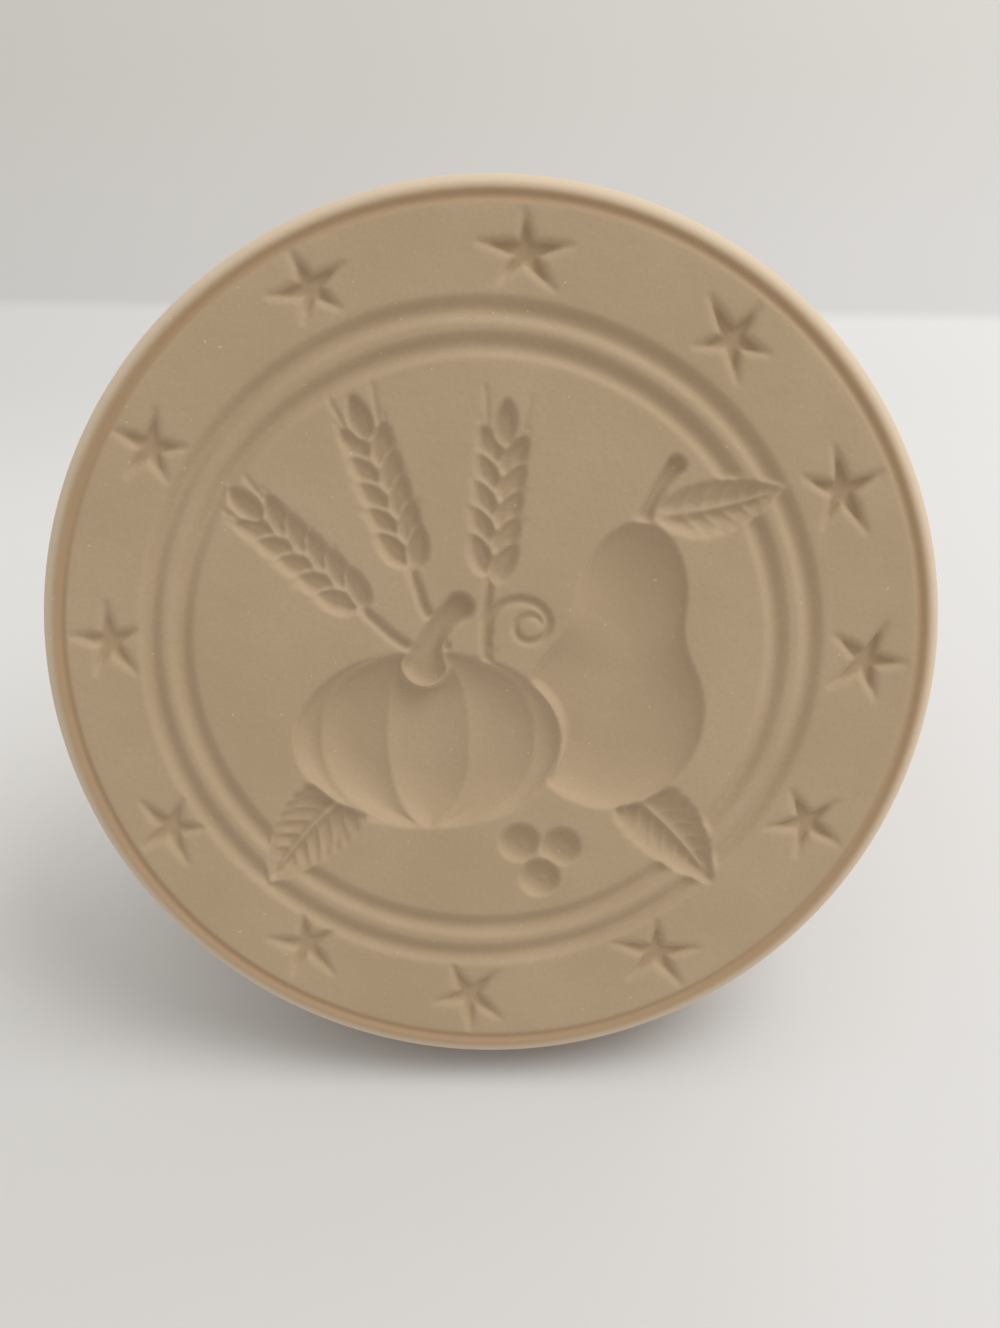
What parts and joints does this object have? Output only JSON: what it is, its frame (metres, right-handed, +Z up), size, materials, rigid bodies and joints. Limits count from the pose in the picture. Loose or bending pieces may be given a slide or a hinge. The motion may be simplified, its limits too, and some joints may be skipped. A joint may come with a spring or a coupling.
{
  "type": "cookie stamp",
  "caption": "Round stamp of unglazed fired clay with a star band, ring grooves and a sunk fruit picture, glued to a turned wooden knob; it leans back at rest.",
  "frame": {"origin": "middle of the bottom of the bounding box, on the level surface that the rim and the knob rest on", "axes": "+Z up; +X to the right across the disc, as seen from its stamping face; -Y towards whoever looks at the stamping face, which leans back"},
  "size_m": [0.0726, 0.0702, 0.0673],
  "materials": {
    "fired_clay": "unglazed, matt, fine grain",
    "beech": "turned, oiled, satin",
    "dowel_wood": "bare, fluted",
    "epoxy": "cured, clear amber"
  },
  "bodies": {
    "root": {"stamp_head": "fired_clay", "handle_knob": "beech", "dowel_pin": "dowel_wood", "epoxy_bond": "epoxy"}
  },
  "joints": []
}
